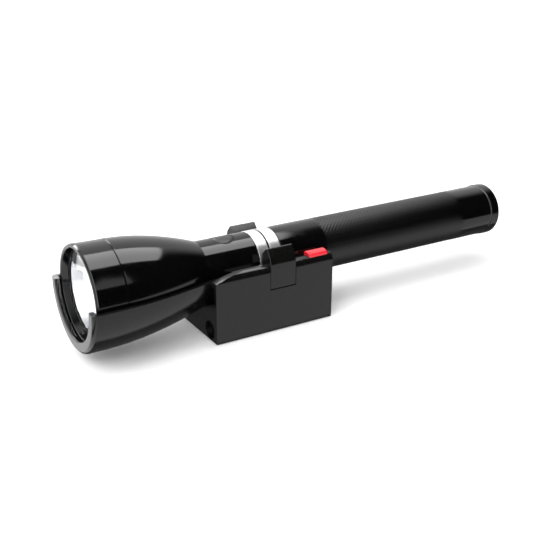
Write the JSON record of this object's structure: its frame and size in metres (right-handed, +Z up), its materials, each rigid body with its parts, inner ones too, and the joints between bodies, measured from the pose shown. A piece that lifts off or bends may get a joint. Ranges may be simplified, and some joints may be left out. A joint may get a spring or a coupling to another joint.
{
  "type": "rechargeable flashlight in a charging cradle",
  "caption": "Large black rechargeable flashlight with a flared head, lying in an open charging cradle with a head cup, sprung contact arms and a red charge lamp.",
  "frame": {"origin": "centre of the part's footprint, on the surface the cradle's rubber feet stand on", "axes": "+X along the barrel towards the tail cap, so the light shines towards -X; +Z up; the jack and the red indicator are on the -Y side"},
  "size_m": [0.2804, 0.0616, 0.0622],
  "materials": {
    "anodised_black": "gloss black hard anodising",
    "bare_aluminium": "machined",
    "bright_ring": "fine turned, bright",
    "reflector_coat": "vacuum-metallised, mirror bright",
    "lens_clear": "clear polycarbonate",
    "cradle_plastic": "fine satin black ABS",
    "black_nylon": "satin black nylon",
    "cell_body": "shrink-wrapped metal can",
    "sleeve_card": "plain insulating tube",
    "black_rubber": "matt silicone rubber",
    "spring_steel": "bright wire",
    "zinc_steel": "zinc plated",
    "contact_brass": "nickel-flashed brass",
    "board_green": "solder-masked board",
    "board_white": "white metal-core board",
    "led_phosphor": "yellow phosphor under a clear dome",
    "lens_red": "translucent red",
    "led_red": "clear red epoxy"
  },
  "bodies": {
    "cradle": {"cradle_base": "cradle_plastic", "head_cup": "cradle_plastic", "cup_screws": "zinc_steel", "bottom_cover": "cradle_plastic", "cover_screws": "zinc_steel", "rubber_feet": "black_rubber", "mounting_inserts": "contact_brass", "near_arm_pin": "zinc_steel", "far_arm_pin": "zinc_steel", "arm_springs": "spring_steel", "charger_board": "board_green", "dc_jack": "black_nylon", "jack_pin": "contact_brass", "indicator_lens": "lens_red", "indicator_led": "led_red", "indicator_board": "board_green"},
    "near_arm": {"near_contact_arm": "cradle_plastic", "near_contact_plate": "contact_brass"},
    "far_arm": {"far_contact_arm": "cradle_plastic", "far_contact_plate": "contact_brass"},
    "lamp": {"barrel": "anodised_black", "ring_insulator": "black_nylon", "front_charge_ring": "bright_ring", "rear_charge_ring": "bright_ring", "head_seal": "black_rubber", "switch_retainer": "black_nylon", "switch_housing": "black_nylon", "switch_spring": "spring_steel", "control_board": "board_green", "battery_cells": "cell_body", "battery_sleeve": "sleeve_card"},
    "head": {"face_cap": "anodised_black", "lens": "lens_clear", "lens_seal": "black_rubber", "reflector": "reflector_coat", "head_shell": "anodised_black"},
    "light_source": {"led_emitter": "led_phosphor", "led_board": "board_white", "led_pillar": "bare_aluminium"},
    "button": {"switch_boot": "black_rubber", "switch_plunger": "black_nylon"},
    "tail_carriage": {"tail_seal": "black_rubber"},
    "tail": {"tail_cap": "anodised_black", "tail_spring": "spring_steel"}
  },
  "joints": [
    {"name": "lamp_lift", "type": "slide", "parent": "cradle", "child": "lamp", "axis": [0, 0, 1], "range_m": [0, 0.045]},
    {"name": "head_turn", "type": "hinge", "parent": "lamp", "child": "head", "pos_m": [-0.08025, 0, 0.0353], "axis": [1, 0, 0], "range_deg": [0, 90]},
    {"name": "led_focus", "type": "slide", "parent": "lamp", "child": "light_source", "axis": [1, 0, 0], "range_m": [0, 0.003]},
    {"name": "power_button", "type": "slide", "parent": "lamp", "child": "button", "axis": [0, 0, -1], "range_m": [0, 0.0012], "stiffness_N_per_m": 1500, "springref_m": -0.001, "deforming": ["switch_spring"]},
    {"name": "tail_travel", "type": "slide", "parent": "lamp", "child": "tail_carriage", "axis": [1, 0, 0], "range_m": [0, 0.0141]},
    {"name": "tail_turn", "type": "hinge", "parent": "tail_carriage", "child": "tail", "pos_m": [0.12975, 0, 0.0353], "axis": [-1, 0, 0], "range_deg": [0, 2520]},
    {"name": "near_arm_swing", "type": "hinge", "parent": "cradle", "child": "near_arm", "pos_m": [-0.02025, -0.021, 0.0228], "axis": [1, 0, 0], "range_deg": [0, 5], "stiffness_Nm_per_rad": 0.6, "springref_deg": -5.73},
    {"name": "far_arm_swing", "type": "hinge", "parent": "cradle", "child": "far_arm", "pos_m": [-0.02025, 0.021, 0.0228], "axis": [-1, 0, 0], "range_deg": [0, 5], "stiffness_Nm_per_rad": 0.6, "springref_deg": -5.73}
  ],
  "couplings": [
    {"joint": "led_focus", "follows": "head_turn", "m_per_rad": 0.0019},
    {"joint": "tail_travel", "follows": "tail_turn", "m_per_rad": 0.00031831}
  ]
}
